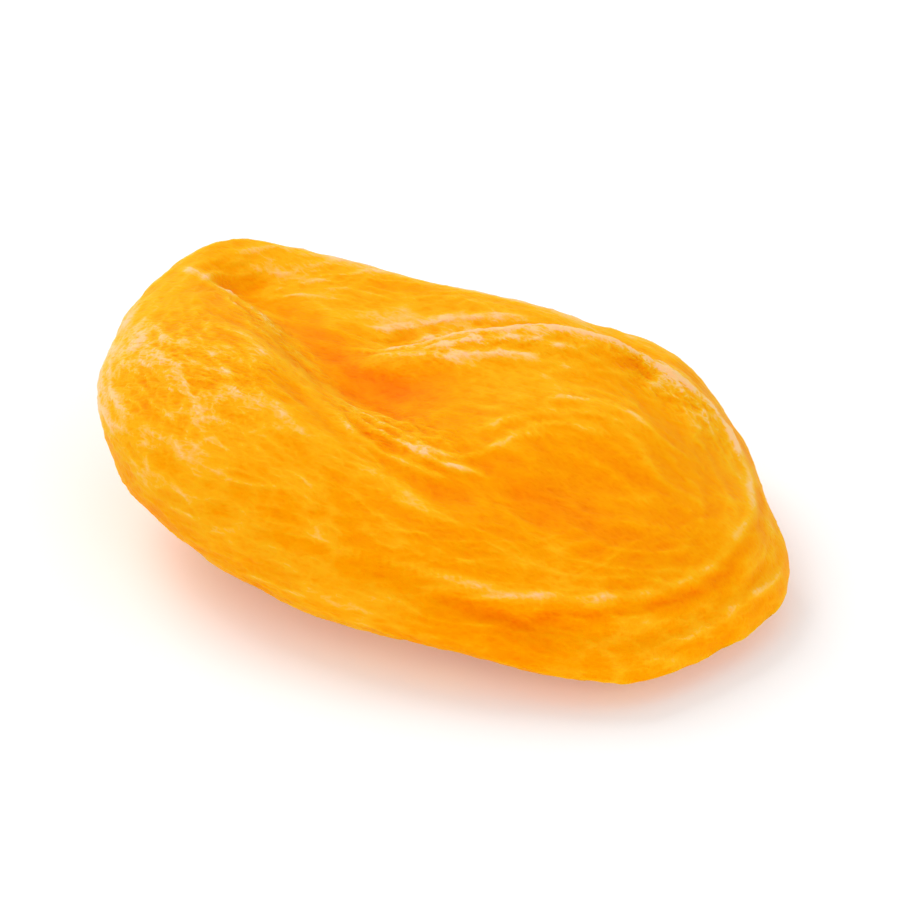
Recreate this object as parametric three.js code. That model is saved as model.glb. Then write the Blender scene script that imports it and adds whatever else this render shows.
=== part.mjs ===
import * as THREE from "three";
import { mergeVertices } from "three/addons/utils/BufferGeometryUtils.js";
import { ImprovedNoise } from "three/addons/math/ImprovedNoise.js";

// A whole dried apricot, pitted, pressed flat and dried, as one solid in millimetres.
// It lies on the surface z = 0, with the origin below its middle: +X points to its thin
// end, +Y to its far side and +Z up.

// Driving dimensions
const LENGTH = 43;
const WIDTH = 30.5;
const RIM_HEIGHT = 5.4; // the rim's middle line over the surface, at the fruit's middle
const LEAN_ALONG = 0.17; // how much the rim drops per millimetre towards the thin end
const LEAN_ACROSS = 0.06; // how much the rim rises per millimetre towards the far side
const CROWN = 5.4; // how far the flesh stands up over the rim, before the folds
const PRESS = 0.5; // how far the underside would sink into the surface that presses it flat
const RISE = { along: 2.2, across: 0.9 }; // how far the underside rises towards ends and sides
const FULLNESS = 2.5; // 2 is an ellipse in section, more is fuller towards the rim
const SEGMENTS = 30; // faces along each edge of the starting cube
const FLESH_COLOUR = 0xf7a022;

// The outline from above, as shares of half the length and half the width
const OUTLINE = [
  [0.96, -0.36],
  [0.99, 0],
  [0.92, 0.22],
  [0.81, 0.41],
  [0.66, 0.69],
  [0.32, 0.99],
  [-0.19, 0.85],
  [-0.65, 0.76],
  [-0.94, 0.57],
  [-1, 0.13],
  [-0.94, -0.29],
  [-0.81, -0.64],
  [-0.59, -0.88],
  [-0.14, -1.01],
  [0.38, -0.99],
  [0.79, -0.8],
];

// Hollows and swellings of the upper side: place, reach along and across, turn and height
const MOUNDS = [
  { at: [-10.8, 6.3], reach: [8.5, 4.6], turn: -0.25, height: -2.6 }, // dish inside the far rim
  { at: [-3.9, -0.4], reach: [5, 3.4], turn: -0.35, height: -1.9 }, // hollow over the stone's place
  { at: [7.8, 1.9], reach: [7.5, 7], turn: 0, height: 0.7 }, // pillow over the thin end
  { at: [10.1, -4.2], reach: [3.4, 2.2], turn: -0.3, height: -0.5 }, // dent in the pillow
  { at: [-12.2, -7.1], reach: [9, 4.5], turn: -0.45, height: 0.7 }, // lobe at the thick end
];

// Folds drawn from above: height of the crest, or depth if negative, its reach to the left
// and to the right of the line, the step down on the left, and the shares of the line over
// which the fold starts and ends
const VALLEY = {
  // From the far rim across the middle, under the edge of the thick lobe
  points: [
    [-19.5, 6.4],
    [-16, 5],
    [-12.6, 2.7],
    [-9.2, -0.3],
    [-5.8, -2.7],
    [-2.2, -4.4],
    [2.2, -5.6],
  ],
  height: -1.5,
  reach: [3, 2.1],
  step: 0,
  fade: [0.16, 0.4],
};
const CREST = {
  // Along the back of the pillow, with the lower slope to the far rim behind it
  points: [
    [-8.7, 0.4],
    [-5.4, 1.9],
    [-2.3, 3.4],
    [0.6, 5.2],
    [3.7, 7.1],
    [7.1, 8.6],
    [10.6, 9],
    [13.3, 7.8],
    [15.3, 5.4],
  ],
  height: 1.1,
  reach: [1.3, 2.4],
  step: -1.4,
  fade: [0.2, 0.5],
};
const LOBE_FOLD = {
  points: [
    [-10.2, -3.8],
    [-5.7, -6.2],
    [-1.2, -7.8],
    [3.3, -9.2],
    [7.3, -10],
  ],
  height: -0.5,
  reach: [1.4, 1],
  step: 0,
  fade: [0.2, 0.2],
};
const CURL = {
  // Low curled fold on the pillow
  points: [
    [3.9, -4],
    [3.7, -1.8],
    [4.9, 0],
    [7.3, 1.3],
    [10.3, 2.6],
    [13.3, 2.8],
  ],
  height: 0.35,
  reach: [0.7, 0.9],
  step: 0,
  fade: [0.2, 0.2],
};
const UNDER_FOLDS = [
  {
    points: [
      [-17, 4],
      [-12, 8],
      [-4, 10],
      [4, 12],
    ],
    height: 0.6,
    reach: [1.2, 1.8],
    step: 0,
    fade: [0.2, 0.2],
  },
  {
    points: [
      [-14, -10],
      [-7, -11],
      [2, -12],
      [12, -9],
    ],
    height: 0.5,
    reach: [1.6, 1.1],
    step: 0,
    fade: [0.2, 0.2],
  },
];
const STEP_START = 3; // how far behind a crest the lower slope is reached
const STEP_REACH = 4.5; // how far behind a crest it fades out

// Tuck under the rim of the thin end, where the two halves are pressed together: the
// directions that it runs between, its level above the rim and its width, in radians
const SEAM = { from: -1.7, to: 0.3, fadeIn: 0.7, fadeOut: 0.35, level: 0.36, width: 0.1 };
const SEAM_DEPTH = 0.55;

// Uneven flesh, from broad to narrow: size across the folds, how drawn out they are, height
const SWELLINGS = [
  { size: 8, stretch: 1.3, height: 0.45 },
  { size: 2.8, stretch: 2.4, height: 0.32 },
];
const FOLD_TURN = -0.42; // the way most folds run, as an angle from +X

const noise = new ImprovedNoise();
const { clamp, smoothstep } = THREE.MathUtils;

function bell(distance, reach) {
  return Math.exp(-((distance / reach) ** 2));
}

function turned(x, y, angle) {
  const [c, s] = [Math.cos(angle), Math.sin(angle)];
  return [x * c + y * s, y * c - x * s];
}

// The outline as a distance from the middle for every direction.
function outlineRadius() {
  const corners = OUTLINE.map(([x, y]) => new THREE.Vector3((x * LENGTH) / 2, (y * WIDTH) / 2, 0));
  const curve = new THREE.CatmullRomCurve3(corners, true, "centripetal");
  const samples = curve
    .getSpacedPoints(720)
    .map((point) => [Math.atan2(point.y, point.x), Math.hypot(point.x, point.y)])
    .sort((a, b) => a[0] - b[0]);
  const last = samples.at(-1);
  samples.unshift([last[0] - 2 * Math.PI, last[1]]);
  samples.push([samples[1][0] + 2 * Math.PI, samples[1][1]]);
  return (angle) => {
    const next = samples.findIndex((sample) => sample[0] > angle);
    const [before, after] = [samples[next - 1], samples[next]];
    const share = (angle - before[0]) / (after[0] - before[0]);
    return before[1] + share * (after[1] - before[1]);
  };
}

function moundHeight({ at, reach, turn, height }, x, y) {
  const [along, across] = turned(x - at[0], y - at[1], turn);
  return height * bell(Math.hypot(along / reach[0], across / reach[1]), 1);
}

// A fold's height over the plan: the nearest stretch of its line gives the side and distance.
function foldHeight({ points, height, reach, step, fade }) {
  const corners = points.map(([x, y]) => new THREE.Vector3(x, y, 0));
  const line = new THREE.CatmullRomCurve3(corners).getSpacedPoints(60);
  return (x, y) => {
    let nearest = { distance: Infinity };
    for (let i = 1; i < line.length; i++) {
      const [a, b] = [line[i - 1], line[i]];
      const [ux, uy] = [b.x - a.x, b.y - a.y];
      const share = clamp(((x - a.x) * ux + (y - a.y) * uy) / (ux * ux + uy * uy), 0, 1);
      const distance = Math.hypot(x - a.x - share * ux, y - a.y - share * uy);
      if (distance < nearest.distance) {
        const left = ux * (y - a.y) > uy * (x - a.x);
        nearest = { distance, left, along: (i - 1 + share) / (line.length - 1) };
      }
    }
    const { distance, left, along } = nearest;
    const strength = smoothstep(along, 0, fade[0]) * smoothstep(1 - along, 0, fade[1]);
    const crest = height * bell(distance, reach[left ? 0 : 1]);
    const slope = step * smoothstep(distance, 0, STEP_START) * bell(distance, STEP_REACH);
    return strength * (left ? crest + slope : crest);
  };
}

// How deep the seam is tucked in, by direction round the fruit and level over the rim.
function seamTuck(angle, level) {
  const start = smoothstep(angle, SEAM.from, SEAM.from + SEAM.fadeIn);
  const end = 1 - smoothstep(angle, SEAM.to - SEAM.fadeOut, SEAM.to);
  const lip = smoothstep(level, 0, SEAM.level - SEAM.width / 2);
  const edge = 1 - smoothstep(level, SEAM.level - SEAM.width / 2, SEAM.level + SEAM.width / 2);
  return SEAM_DEPTH * start * end * lip * edge;
}

function swelling(x, y, z) {
  const [along, across] = turned(x, y, FOLD_TURN);
  return SWELLINGS.reduce(
    (sum, { size, stretch, height }) =>
      sum + height * noise.noise(along / (size * stretch), across / size, z / size),
    0,
  );
}

function buildFruit() {
  const cube = new THREE.BoxGeometry(2, 2, 2, SEGMENTS, SEGMENTS, SEGMENTS);
  cube.deleteAttribute("normal");
  cube.deleteAttribute("uv");
  const geometry = mergeVertices(cube, 1e-4);
  const radius = outlineRadius();
  const upperFolds = [VALLEY, CREST, LOBE_FOLD, CURL].map(foldHeight);
  const underFolds = UNDER_FOLDS.map(foldHeight);
  const place = geometry.attributes.position;
  const way = new THREE.Vector3();
  const point = new THREE.Vector3();
  const outward = new THREE.Vector3();
  for (let i = 0; i < place.count; i++) {
    // Each direction from the middle becomes a place between the rim and the middle
    way.fromBufferAttribute(place, i).normalize();
    const reach = Math.min(Math.hypot(way.x, way.y), 1);
    const angle = Math.atan2(way.y, way.x);
    const x = reach * radius(angle) * Math.cos(angle);
    const y = reach * radius(angle) * Math.sin(angle);
    const rim = RIM_HEIGHT - LEAN_ALONG * x + LEAN_ACROSS * y;
    const bulge = (1 - reach ** FULLNESS) ** (1 / FULLNESS);
    const inside = smoothstep(bulge, 0.2, 0.75);
    let z = rim;
    if (way.z > 0) {
      const mounds = MOUNDS.reduce((sum, each) => sum + moundHeight(each, x, y), 0);
      const folds = upperFolds.reduce((sum, height) => sum + height(x, y), 0);
      z += CROWN * bulge + (mounds + folds) * inside;
    } else {
      const along = RISE.along * (x / (LENGTH / 2)) ** 2;
      const across = RISE.across * (y / (WIDTH / 2)) ** 2;
      const folds = underFolds.reduce((sum, height) => sum + height(x, y), 0);
      z += (along + across - PRESS - rim) * bulge + folds * inside;
    }
    // Uneven flesh and the seam move the skin straight out or in
    outward.set(x / (LENGTH / 2) ** 2, y / (WIDTH / 2) ** 2, (Math.sign(way.z) * bulge) / CROWN);
    outward.normalize();
    point.set(x, y, z).addScaledVector(outward, swelling(x, y, z) - seamTuck(angle, way.z));
    place.setXYZ(i, point.x, point.y, Math.max(point.z, 0));
  }
  geometry.computeBoundingBox();
  const middle = geometry.boundingBox.getCenter(new THREE.Vector3());
  geometry.translate(-middle.x, -middle.y, 0);
  return geometry;
}

const flesh = new THREE.MeshStandardMaterial({ color: FLESH_COLOUR, roughness: 0.55, metalness: 0 });
const fruit = new THREE.Mesh(buildFruit(), flesh);
fruit.name = "dried_apricot";

const apricot = new THREE.Group();
apricot.add(fruit);

export default apricot;
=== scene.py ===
"""A whole dried apricot on a white table: fine skin over its solid, flesh, light and camera.

Lengths are in millimetres and become metres when a mesh, a light or the camera is placed.
The frame is the solid's own: +X to the fruit's thin end, +Y to its far side and +Z up.
"""

import math

import bpy
import numpy as np
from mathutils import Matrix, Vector, noise
from mathutils.bvhtree import BVHTree


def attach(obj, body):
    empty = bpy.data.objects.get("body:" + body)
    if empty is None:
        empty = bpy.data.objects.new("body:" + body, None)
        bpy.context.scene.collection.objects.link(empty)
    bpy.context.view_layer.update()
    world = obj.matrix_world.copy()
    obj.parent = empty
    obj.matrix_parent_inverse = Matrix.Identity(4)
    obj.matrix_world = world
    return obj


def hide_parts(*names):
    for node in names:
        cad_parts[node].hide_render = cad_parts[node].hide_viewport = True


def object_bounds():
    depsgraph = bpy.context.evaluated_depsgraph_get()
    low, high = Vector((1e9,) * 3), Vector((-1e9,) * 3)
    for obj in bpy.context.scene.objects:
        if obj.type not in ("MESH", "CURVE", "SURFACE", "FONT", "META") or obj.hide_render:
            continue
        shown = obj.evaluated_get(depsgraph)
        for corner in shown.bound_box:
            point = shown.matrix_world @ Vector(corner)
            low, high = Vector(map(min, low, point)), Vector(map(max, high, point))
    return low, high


MM = 0.001  # one millimetre in Blender's metres

# Camera: the photograph's viewing angle, with the fruit filling most of the picture
VIEW_AZIMUTH = 26  # degrees round from the front, towards the thin end
VIEW_ELEVATION = 30  # degrees above the table
CAMERA_DISTANCE = 450
PICTURE_WIDTH = 52  # how much the picture shows from side to side, at the fruit
SENSOR_WIDTH = 36
CLIP_START = 10

# Fine skin
MERGE_DISTANCE = 0.001
SKIN_LEVELS = 2
EASE = 0.5  # how near the box's faces or the table the wrinkles start to flatten out
UPPER_SIDE = (-0.5, 0)  # the normal's upward part where the upper side starts, and where it is full

# Drawn creases: places from above along each line, height and half width
LOBE_EDGE = {
    # Edge of the thick lobe, over the hollow
    "points": [
        (-20.3, 5.2), (-19.2, 4.2), (-17.2, 4), (-14.8, 3.3), (-10.9, 0.5), (-8.1, -0.9),
        (-6.2, -2.7), (-4.2, -4.8),
    ],
    "height": 0.14,
    "width": 0.6,
}
HOLLOW_FAN = [
    # Folds that fan out from the hollow's near side
    {
        "points": [(-5.5, -3.8), (-2.6, -5.6), (-0.6, -6.1), (1.4, -6.5), (3.4, -6.6), (5.5, -5.9)],
        "height": 0.17,
        "width": 0.25,
    },
    {
        "points": [(-6, -3), (-4.4, -4), (-2.6, -4.8), (-0.8, -5.3), (1.2, -5.8)],
        "height": 0.14,
        "width": 0.23,
    },
    {
        "points": [(-5, -2.4), (-3, -3.6), (-1.3, -4.2), (0.6, -4.7)],
        "height": 0.14,
        "width": 0.24,
    },
    {
        "points": [(-5.6, -4.9), (-3, -6.7), (-0.6, -7.3), (2, -7.6), (4.4, -7.4)],
        "height": 0.12,
        "width": 0.25,
    },
    {
        "points": [
            (-0.6, -5.6), (1, -5.9), (2.7, -5.9), (4, -5.1), (4.8, -4), (5.4, -2.8), (6.4, -1.8),
            (7.6, -1),
        ],
        "height": 0.12,
        "width": 0.25,
    },
]
CURLS = [
    # Low curled folds on the pillow
    {
        "points": [
            (3, -3.8), (3.8, -2.4), (4.7, -1.3), (6, -0.1), (7.6, 0.9), (9.4, 1.6), (11.6, 2.3),
        ],
        "height": 0.13,
        "width": 0.27,
    },
    {
        "points": [(4.7, -3.1), (5.6, -1.8), (6.8, -0.6), (8.2, -0.1), (9.6, 0.1)],
        "height": 0.12,
        "width": 0.24,
    },
    {
        "points": [(5.2, 0.6), (6.6, 1.6), (8.6, 2.5), (10.6, 2.8), (12.4, 2.4)],
        "height": 0.1,
        "width": 0.24,
    },
]
CREST_PINCHES = [
    # Pinched lines along the crest behind the pillow
    {
        "points": [
            (-9.5, 2.6), (-7.2, 3), (-5, 3.1), (-2.6, 3.9), (0.4, 5.2), (2.4, 6.2), (4.4, 7.6),
            (6.8, 8.4), (9.5, 8.9),
        ],
        "height": 0.12,
        "width": 0.3,
    },
    {
        "points": [(-7, 2.2), (-5, 2.2), (-3, 2.4), (-1.4, 2.4), (0, 2.1)],
        "height": 0.12,
        "width": 0.26,
    },
    {
        "points": [(-3.4, 3.2), (-1.8, 3.3), (-0.6, 3.8), (0.4, 4.2), (1.6, 4.8), (3, 5.8)],
        "height": 0.14,
        "width": 0.26,
    },
    {
        "points": [(-2.2, 2.9), (-0.6, 2.9), (1, 3.3), (2.6, 4), (4, 4.2)],
        "height": 0.12,
        "width": 0.25,
    },
]
FAR_FOLDS = [
    # Folds on the slope to the far rim
    {
        "points": [(-9, 5.2), (-7.2, 6.2), (-5.6, 7.2), (-4, 8.2), (-1.6, 9.3), (1, 10.2)],
        "height": 0.1,
        "width": 0.42,
    },
    {
        "points": [(-6.4, 5), (-4.4, 6.2), (-2.4, 7.4), (-0.4, 8.2), (2, 9.4)],
        "height": 0.11,
        "width": 0.36,
    },
    {
        "points": [(5.7, 8.2), (8, 8.8), (10.5, 8.9), (12.5, 8.7), (14.5, 7.7), (16.2, 5.9)],
        "height": 0.16,
        "width": 0.4,
    },
]
LOBE_FOLD = {
    # Wide fold on the near side of the lobe
    "points": [(-9, -6.4), (-6.4, -8.2), (-3.4, -8.9), (0.2, -9.4), (3.4, -10.2), (6.4, -11)],
    "height": 0.06,
    "width": 0.8,
}
FLAP = [
    # Where the pillow meets the pressed rim: its edge, the groove below it and the rim's lip
    {
        "points": [
            (-9, -13.6), (-5.4, -14.2), (0.1, -14.3), (6.4, -13.6), (10.4, -12.8), (14.2, -11),
            (16.5, -8.6), (17.7, -6.2), (18.4, -3.8), (18.5, -1), (18.2, 1.6), (17, 4.4), (15.4, 7),
            (13.4, 9.2),
        ],
        "height": 0.1,
        "width": 0.34,
    },
    {
        "points": [
            (0.1, -14.9), (6.4, -14.2), (10.4, -13.4), (14.6, -11.6), (17, -9), (18.3, -6.4),
            (19, -3.9), (19.1, -0.9), (18.8, 1.8), (17.6, 4.7), (16, 7.4), (14, 9.6),
        ],
        "height": -0.11,
        "width": 0.4,
    },
    {
        "points": [(20.4, 2), (20.5, -1.5), (19.9, -5), (18.9, -8.1), (17.2, -10.6)],
        "height": 0.1,
        "width": 0.34,
    },
]
CREASES = [LOBE_EDGE, *HOLLOW_FAN, *CURLS, *CREST_PINCHES, *FAR_FOLDS, LOBE_FOLD, *FLAP]
CREASE_UNEVENNESS = {"size": 1.4, "share": 0.6}
CREASE_ENDS = 0.2  # share of a crease over which each of its ends fades
CURVE_STEPS = 12  # steps along a crease from one of its places to the next
DROP_HEIGHT = 50  # height that the creases are dropped from to lie on the skin

# Fine wrinkles: size across, length of a stroke, the angle at which they cross the main
# direction, thickness of a ridge, height, the share of it that smooth skin keeps, and seed
WRINKLES = [
    {"size": 2.8, "stroke": 10, "turn": 0, "sharp": 1, "height": 0.1, "smooth": 0.8, "seed": 5},
    {"size": 1.6, "stroke": 4.5, "turn": 0, "sharp": 0.7, "height": 0.14, "smooth": 0.3, "seed": 3},
    {"size": 0.8, "stroke": 2.4, "turn": 0.3, "sharp": 0.7, "height": 0.16, "smooth": 0, "seed": 11},
    {"size": 0.6, "stroke": 1.6, "turn": -0.3, "sharp": 0.7, "height": 0.1, "smooth": 0.1, "seed": 17},
]
STROKE_STEPS = 5
SEED_STEP = (7.3, 3.1, 5.7)  # how far the noise moves on from one seed to the next
MEANDER = {"size": 5, "turn": 0.8}

# The way the wrinkles run, as angles from +X: the main way, which holds between the places,
# and the ways at places seen from above
MAIN_WAY = {"angle": -0.3, "weight": 0.2}
WAYS = [
    {"at": (-13, 1), "reach": (8, 5), "angle": -0.58},
    {"at": (0, 6), "reach": (9, 4.5), "angle": 0.48},
    {"at": (8, 2), "reach": (6, 4), "angle": 0},
    {"at": (13, 7), "reach": (4, 4), "angle": -0.5},
]
RIM_STARTS = 0.6  # share of the way out to the rim where the wrinkles start to follow it
RIM_RULES = 0.9

# Where the skin is finely crinkled, as places from above with a reach, and below
CRINKLED = [
    {"at": (-13, -6), "reach": (8, 7), "turn": 0, "strength": 0.8},
    {"at": (-12, 1), "reach": (8, 2), "turn": -0.6, "strength": 1},
    {"at": (-1, 5.5), "reach": (10, 4), "turn": 0.4, "strength": 0.8},
    {"at": (9, 8.5), "reach": (7, 2.6), "turn": -0.3, "strength": 0.9},
    {"at": (-2, -4.5), "reach": (6, 3), "turn": -0.3, "strength": 0.9},
]
CRINKLED_BELOW = 0.45
SMOOTHEST = 0.3

# Flesh: its tones from the deepest, painted-shade hollow to the palest, painted-light wrinkle, as
# linear colours
TONES = [
    (0, (0.9, 0.19, 0)),
    (0.28, (0.97, 0.28, 0)),
    (0.5, (1, 0.35, 0)),
    (0.75, (1, 0.45, 0.008)),
    (0.88, (1, 0.5, 0.09)),
    (1, (1, 0.56, 0.25)),
]
TONE_MIDDLE = 0.46
# Painted light on raised wrinkles and painted shade in grooves
LIGHT_AND_SHADE_BY_RELIEF = 2.6  # per millimetre that a wrinkle stands up
# Painted shade in the hollows
SHADE_BY_DEPTH = 0.35  # per millimetre that the skin lies below its surroundings
TONE_BY_MOTTLE = 0.3
# Painted light on the finest raised streaks and painted shade between them
LIGHT_AND_SHADE_BY_STREAK = 2
SURROUNDINGS = 120  # rounds of averaging that level the skin to its surroundings

# Pale bloom with painted sheen on the rims and crests, and painted shade in the hollows and low
# places, as places from above with a reach
BLOOM_AND_SHEEN = [
    {"at": (-19, -6), "reach": (3, 7), "turn": 0.3, "strength": 0.34},
    {"at": (-9, -11), "reach": (7, 3.5), "turn": -0.3, "strength": 0.2},
    {"at": (-13.5, 7.5), "reach": (6, 3.5), "turn": -0.3, "strength": 0.32},
    {"at": (-11, 11.8), "reach": (11, 1.2), "turn": 0.05, "strength": 0.35},
    {"at": (4, 13.2), "reach": (7, 1.2), "turn": 0.05, "strength": 0.3},
    {"at": (12, 8), "reach": (6, 1.6), "turn": -0.6, "strength": 0.2},
    {"at": (5, 3.5), "reach": (7, 2.5), "turn": 0.1, "strength": 0.15},
    {"at": (-4, 7.5), "reach": (6, 2.5), "turn": 0.4, "strength": 0.18},
]
# Painted shade: darker colour in the hollows, the valley under the lobe and towards the pillow's lower
# side
SHADED_PATCHES = [
    {"at": (-4, -0.5), "reach": (5.5, 2.4), "turn": -0.4, "strength": 0.12},
    {"at": (-10.6, 4), "reach": (5, 1.8), "turn": -0.5, "strength": 0.34},
    {"at": (-1.5, -5), "reach": (5, 2), "turn": -0.35, "strength": 0.14},
    {"at": (10.5, -5.5), "reach": (4.5, 3), "turn": 0, "strength": 0.2},
    {"at": (19.5, -3.5), "reach": (2.6, 5), "turn": 0, "strength": 0.14},
]

# Patterns in the flesh's colour and its finest wrinkles and pores
NOISE_MIDDLE = 0.5
MOTTLE = {"size": 6, "detail": 3}
STREAK = {"along": 0.7, "across": 0.34, "turn": -0.1, "detail": 2, "width": 0.1, "height": 0.3}
PORE = {"size": 0.25, "detail": 3, "height": 0.012}
FLESH_FINISH = {
    "Roughness": 0.5,
    "Specular IOR Level": 0.03,
    "Specular Tint": (1, 0.6, 0.1, 1),
    "Sheen Weight": 0.05,
    "Sheen Roughness": 0.35,
    "Sheen Tint": (1, 0.6, 0.08, 1),
    "Subsurface Weight": 0.7,
    "Subsurface Radius": (1, 0.3, 0.05),
    "Subsurface Scale": MM,  # so the radius is in millimetres
}

# Table and light
TABLE_SIZE = 6000
TABLE_FINISH = {
    "Base Color": (0.85, 0.85, 0.85, 1),
    "Roughness": 0.8,
    "Emission Color": (1, 1, 1, 1),
    "Emission Strength": 0.16,
}
WORLD_LIGHT = 0.72
LAMPS = [
    {"name": "key", "at": (-280, 120, 300), "size": 240, "power": 0.85},
    {"name": "fill", "at": (280, -260, 150), "size": 300, "power": 0.5},
]


def blend(value, low, high):
    """0 up to low, 1 from high on, smooth between."""
    share = np.clip((value - low) / (high - low), 0, 1)
    return share * share * (3 - 2 * share)


def bell(distance, reach):
    return np.exp(-((distance / reach) ** 2))


def blob(points, at, reach, turn=0):
    """1 at a place seen from above, falling off over its reach along and across."""
    x, y = points[:, 0] - at[0], points[:, 1] - at[1]
    c, s = math.cos(turn), math.sin(turn)
    return bell(np.hypot((x * c + y * s) / reach[0], (y * c - x * s) / reach[1]), 1)


def patch(points, place):
    """How strong a patch of the skin's look is at each point."""
    return place["strength"] * blob(points, place["at"], place["reach"], place["turn"])


def fine_skin(node):
    """A copy of the solid as one closed mesh of small quads, ready for the wrinkles."""
    skin = bpy.data.objects.new("apricot_skin", node.data.copy())
    bpy.context.scene.collection.objects.link(skin)
    bpy.ops.object.select_all(action="DESELECT")
    skin.select_set(True)
    bpy.context.view_layer.objects.active = skin
    bpy.ops.object.mode_set(mode="EDIT")
    bpy.ops.mesh.select_all(action="SELECT")
    bpy.ops.mesh.remove_doubles(threshold=MERGE_DISTANCE * MM)
    bpy.ops.mesh.tris_convert_to_quads()
    bpy.ops.object.mode_set(mode="OBJECT")
    finer = skin.modifiers.new("finer", "SUBSURF")
    finer.levels = finer.render_levels = SKIN_LEVELS
    bpy.ops.object.modifier_apply(modifier=finer.name)
    bpy.ops.object.shade_smooth()
    return skin


def read_points(skin):
    points = np.empty(len(skin.data.vertices) * 3)
    skin.data.vertices.foreach_get("co", points)
    return points.reshape(-1, 3) / MM


def read_normals(skin):
    normals = np.empty(len(skin.data.vertices) * 3)
    skin.data.vertices.foreach_get("normal", normals)
    return normals.reshape(-1, 3)


def write_points(skin, points):
    skin.data.vertices.foreach_set("co", (points * MM).ravel())
    skin.data.update()


def read_edges(skin):
    edges = np.empty(len(skin.data.edges) * 2, int)
    skin.data.edges.foreach_get("vertices", edges)
    return edges.reshape(-1, 2)


def curve_through(points):
    """A smooth curve through points seen from above."""
    corners = [Vector((x, y)) for x, y in points]
    corners = [2 * corners[0] - corners[1], *corners, 2 * corners[-1] - corners[-2]]
    curve = []
    for before, start, end, after in zip(corners, corners[1:], corners[2:], corners[3:]):
        for step in range(CURVE_STEPS):
            t = step / CURVE_STEPS
            curve.append(
                0.5 * (2 * start + (end - before) * t
                       + (2 * before - 5 * start + 4 * end - after) * t**2
                       + (3 * start - before - 3 * end + after) * t**3)
            )
    curve.append(corners[-2])
    return curve


def crease_strength(points, tree, crease):
    """1 along a drawn line laid on the skin from above, fading at its two ends."""
    curve = curve_through(crease["points"])
    nearest = np.full(len(points), np.inf)
    share = np.zeros(len(points))
    for i, place in enumerate(curve):
        hit = tree.ray_cast(Vector((place.x, place.y, DROP_HEIGHT)), Vector((0, 0, -1)))[0]
        if hit is None:
            continue  # just outside the rim
        distance = np.linalg.norm(points - np.array(hit), axis=1)
        closer = distance < nearest
        nearest[closer] = distance[closer]
        share[closer] = i / (len(curve) - 1)
    ends = blend(share, 0, CREASE_ENDS) * blend(1 - share, 0, CREASE_ENDS)
    return ends * bell(nearest, crease["width"])


def noise_at(points):
    return np.array([noise.noise(point) for point in points.tolist()])


def wrinkle_way(points, normals, box, turn):
    """The way the wrinkles run at each point, laid along the skin: in from the rim they
    follow the ways given for places, at the rim they run round it."""
    half_x, half_y = box[0] / 2, box[1] / 2
    share = np.hypot(points[:, 0] / half_x, points[:, 1] / half_y)
    rim = blend(share, RIM_STARTS, RIM_RULES)
    round_rim = np.arctan2(points[:, 0] / half_x**2, -points[:, 1] / half_y**2)
    # A wrinkle has no front or back, so the ways are mixed as doubled angles
    c = np.full(len(points), MAIN_WAY["weight"] * math.cos(2 * MAIN_WAY["angle"]))
    s = np.full(len(points), MAIN_WAY["weight"] * math.sin(2 * MAIN_WAY["angle"]))
    for place in WAYS:
        weight = blob(points, place["at"], place["reach"])
        c += weight * math.cos(2 * place["angle"])
        s += weight * math.sin(2 * place["angle"])
    inside = np.arctan2(s, c)
    c = rim * np.cos(2 * round_rim) + (1 - rim) * np.cos(inside)
    s = rim * np.sin(2 * round_rim) + (1 - rim) * np.sin(inside)
    angle = np.arctan2(s, c) / 2 + turn
    way = np.stack([np.cos(angle), np.sin(angle), np.zeros(len(points))], axis=1)
    return way - normals * np.sum(way * normals, axis=1)[:, None]


def smoothed(values, edges, rounds):
    """Values averaged with their neighbours', again and again."""
    count = len(values)
    heads = np.concatenate([edges[:, 0], edges[:, 1]])
    tails = np.concatenate([edges[:, 1], edges[:, 0]])
    total = 1 + np.bincount(heads, minlength=count)
    for _ in range(rounds):
        values = (values + np.bincount(heads, values[tails], count)) / total
    return values


def wrinkle_lines(points, normals, box, kind):
    """Branching ridges drawn out along the wrinkles' way, 1 on a ridge and 0 between."""
    start = np.array(SEED_STEP) * kind["seed"]
    stride = kind["stroke"] / 2 / STROKE_STEPS
    turn = kind["turn"] + MEANDER["turn"] * noise_at(points / MEANDER["size"] + start)
    lumps = noise_at(points / kind["size"] + start)
    for side in (-1, 1):
        place = points
        way = side * wrinkle_way(place, normals, box, turn)
        for _ in range(STROKE_STEPS):
            place = place + stride * way
            lumps += noise_at(place / kind["size"] + start)
            onward = wrinkle_way(place, normals, box, turn)
            onward[np.sum(onward * way, axis=1) < 0] *= -1
            way = onward
    return np.exp(-np.abs(lumps / lumps.std()) / kind["sharp"])


def set_attribute(skin, name, values):
    layer = skin.data.attributes.new(name, "FLOAT", "POINT")
    layer.data.foreach_set("value", values.astype(np.float32))


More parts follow.
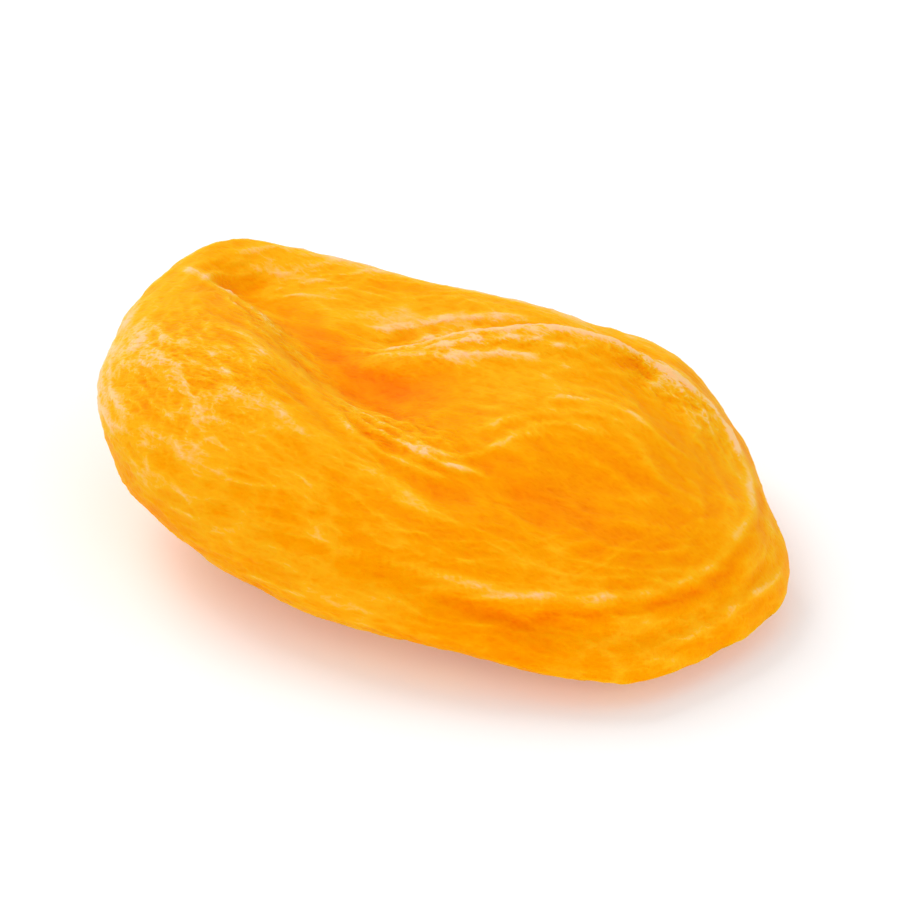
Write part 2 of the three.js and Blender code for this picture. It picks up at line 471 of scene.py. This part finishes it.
def wrinkle(skin, box):
    """Raises the creases and wrinkles, and keeps where they are for the flesh's colour: painted light
    on the ridges, painted shade in the grooves and hollows, and pale bloom with painted sheen.
    """
    points = read_points(skin)
    normals = read_normals(skin)
    edges = read_edges(skin)
    tree = BVHTree.FromPolygons(
        [Vector(p) for p in points], [tuple(face.vertices) for face in skin.data.polygons]
    )
    upper = blend(normals[:, 2], *UPPER_SIDE)

    crinkle = np.full(len(points), SMOOTHEST)
    for place in CRINKLED:
        crinkle = np.maximum(crinkle, patch(points, place))
    crinkle = crinkle * upper + CRINKLED_BELOW * (1 - upper)

    relief = np.zeros(len(points))
    for kind in WRINKLES:
        lines = wrinkle_lines(points, normals, box, kind)
        strength = kind["smooth"] + (1 - kind["smooth"]) * crinkle
        relief += kind["height"] * strength * (lines - lines.mean())
    lumps = noise_at(points / CREASE_UNEVENNESS["size"])
    uneven = upper * np.maximum(1 + CREASE_UNEVENNESS["share"] * lumps, 0)
    for crease in CREASES:
        relief += crease["height"] * uneven * crease_strength(points, tree, crease)

    low = np.array([-box[0] / 2, -box[1] / 2, 0])
    high = np.array([box[0] / 2, box[1] / 2, box[2]])
    room = np.minimum(points - low, high - points).min(axis=1)
    ridges = np.maximum(relief, 0) * blend(room, 0, EASE)
    hollows = np.minimum(relief, 0) * blend(points[:, 2], 0, EASE)
    write_points(skin, points + normals * (ridges + hollows)[:, None])

    # Painted shade: the flesh is darker in colour where the skin lies below its surroundings
    around = np.stack([smoothed(axis, edges, SURROUNDINGS) for axis in points.T], axis=1)
    depth = np.sum((around - points) * normals, axis=1)
    # Painted light on raised wrinkles, painted shade in grooves and hollows
    tone = TONE_MIDDLE + LIGHT_AND_SHADE_BY_RELIEF * relief - SHADE_BY_DEPTH * depth
    # Pale bloom and painted sheen along the upper side's rims and crests
    for place in BLOOM_AND_SHEEN:
        tone += upper * patch(points, place)
    # Painted shade in the hollows and low places
    for place in SHADED_PATCHES:
        tone -= upper * patch(points, place)
    set_attribute(skin, "tone", tone)
    set_attribute(skin, "crinkle", crinkle)


def new_material(name, finish):
    """A material with the finish's values on its shader's own sockets."""
    material = bpy.data.materials.new(name)
    material.use_nodes = True
    shader = material.node_tree.nodes["Principled BSDF"]
    for socket, value in finish.items():
        shader.inputs[socket].default_value = value
    return material


def flesh_material():
    flesh = new_material("apricot_flesh", FLESH_FINISH)
    nodes, links = flesh.node_tree.nodes, flesh.node_tree.links
    shader = nodes["Principled BSDF"]
    place = nodes.new("ShaderNodeTexCoord").outputs["Object"]

    def pattern(along, across, turn, detail):
        """Noise of the given size, drawn out along the turned X axis."""
        mapping = nodes.new("ShaderNodeMapping")
        mapping.vector_type = "TEXTURE"
        mapping.inputs["Rotation"].default_value[2] = turn
        mapping.inputs["Scale"].default_value = (along * MM, across * MM, across * MM)
        grain = nodes.new("ShaderNodeTexNoise")
        grain.inputs["Scale"].default_value = 1
        grain.inputs["Detail"].default_value = detail
        links.new(place, mapping.inputs["Vector"])
        links.new(mapping.outputs["Vector"], grain.inputs["Vector"])
        return grain.outputs["Fac"]

    def worked(operation, *values):
        """A Math node over numbers and the outputs of other nodes."""
        node = nodes.new("ShaderNodeMath")
        node.operation = operation
        for socket, value in zip(node.inputs, values):
            if isinstance(value, (int, float)):
                socket.default_value = value
            else:
                links.new(value, socket)
        return node.outputs["Value"]

    def painted(name):
        attribute = nodes.new("ShaderNodeAttribute")
        attribute.attribute_name = name
        return attribute.outputs["Fac"]

    # Tone of the flesh, painted on the skin with its painted light and shade, mottled all over and
    # streaked where it is crinkled, the streaks painted paler where they stand up
    clouds = pattern(MOTTLE["size"], MOTTLE["size"], 0, MOTTLE["detail"])
    mottle = worked("SUBTRACT", clouds, NOISE_MIDDLE)
    strokes = pattern(STREAK["along"], STREAK["across"], STREAK["turn"], STREAK["detail"])
    lines = worked("ABSOLUTE", worked("SUBTRACT", strokes, NOISE_MIDDLE))
    streaked = worked("MULTIPLY", worked("SUBTRACT", STREAK["width"], lines), painted("crinkle"))
    tone = worked("MULTIPLY_ADD", mottle, TONE_BY_MOTTLE, painted("tone"))
    tone = worked("MULTIPLY_ADD", streaked, LIGHT_AND_SHADE_BY_STREAK, tone)
    tones = nodes.new("ShaderNodeValToRGB")
    ramp = tones.color_ramp.elements
    for position, _ in TONES[1:-1]:
        ramp.new(position)
    for stop, (_, colour) in zip(ramp, TONES):
        stop.color = (*colour, 1)
    links.new(tone, tones.inputs["Fac"])
    links.new(tones.outputs["Color"], shader.inputs["Base Color"])

    # Finest wrinkles and pores
    streaks = nodes.new("ShaderNodeBump")
    streaks.inputs["Distance"].default_value = STREAK["height"] * MM
    links.new(streaked, streaks.inputs["Height"])
    pores = nodes.new("ShaderNodeBump")
    pores.inputs["Distance"].default_value = PORE["height"] * MM
    links.new(pattern(PORE["size"], PORE["size"], 0, PORE["detail"]), pores.inputs["Height"])
    links.new(streaks.outputs["Normal"], pores.inputs["Normal"])
    links.new(pores.outputs["Normal"], shader.inputs["Normal"])
    return flesh


def lay_floor():
    bpy.ops.object.select_all(action="DESELECT")
    bpy.ops.mesh.primitive_plane_add(size=TABLE_SIZE * MM)
    floor = bpy.context.object
    floor.name = "white_table"
    floor.data.materials.append(new_material("white_paper", TABLE_FINISH))


def light_scene(middle):
    scene = bpy.context.scene
    scene.view_settings.view_transform = "Standard"
    world = bpy.data.worlds.new("white_room")
    world.use_nodes = True
    background = world.node_tree.nodes["Background"]
    background.inputs["Color"].default_value = (1, 1, 1, 1)
    background.inputs["Strength"].default_value = WORLD_LIGHT
    scene.world = world
    for each in LAMPS:
        lamp = bpy.data.lights.new(each["name"], "AREA")
        lamp.size = each["size"] * MM
        lamp.energy = each["power"]
        holder = bpy.data.objects.new(each["name"], lamp)
        holder.location = Vector(each["at"]) * MM
        holder.rotation_euler = (middle - holder.location).to_track_quat("-Z", "Y").to_euler()
        scene.collection.objects.link(holder)


def place_camera(middle):
    azimuth, elevation = math.radians(VIEW_AZIMUTH), math.radians(VIEW_ELEVATION)
    back = Vector((
        math.sin(azimuth) * math.cos(elevation),
        -math.cos(azimuth) * math.cos(elevation),
        math.sin(elevation),
    ))
    lens = bpy.data.cameras.new("camera")
    lens.sensor_width = SENSOR_WIDTH
    lens.lens = SENSOR_WIDTH * CAMERA_DISTANCE / PICTURE_WIDTH
    lens.clip_start = CLIP_START * MM
    camera = bpy.data.objects.new("camera", lens)
    camera.location = middle + back * CAMERA_DISTANCE * MM
    camera.rotation_euler = (-back).to_track_quat("-Z", "Y").to_euler()
    bpy.context.scene.collection.objects.link(camera)
    bpy.context.scene.camera = camera


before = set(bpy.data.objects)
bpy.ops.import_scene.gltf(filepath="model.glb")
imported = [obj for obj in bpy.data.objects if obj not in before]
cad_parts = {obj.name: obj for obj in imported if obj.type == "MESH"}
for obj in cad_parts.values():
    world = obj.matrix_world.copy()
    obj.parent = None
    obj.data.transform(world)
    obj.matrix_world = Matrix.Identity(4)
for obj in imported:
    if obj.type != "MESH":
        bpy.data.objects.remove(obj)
cad_low, cad_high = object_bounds()
box = (cad_high - cad_low) / MM
middle = (cad_low + cad_high) / 2

skin = fine_skin(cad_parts["dried_apricot"])
wrinkle(skin, box)
skin.data.materials.clear()
skin.data.materials.append(flesh_material())
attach(skin, "root")
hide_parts("dried_apricot")

lay_floor()
light_scene(middle)
place_camera(middle)
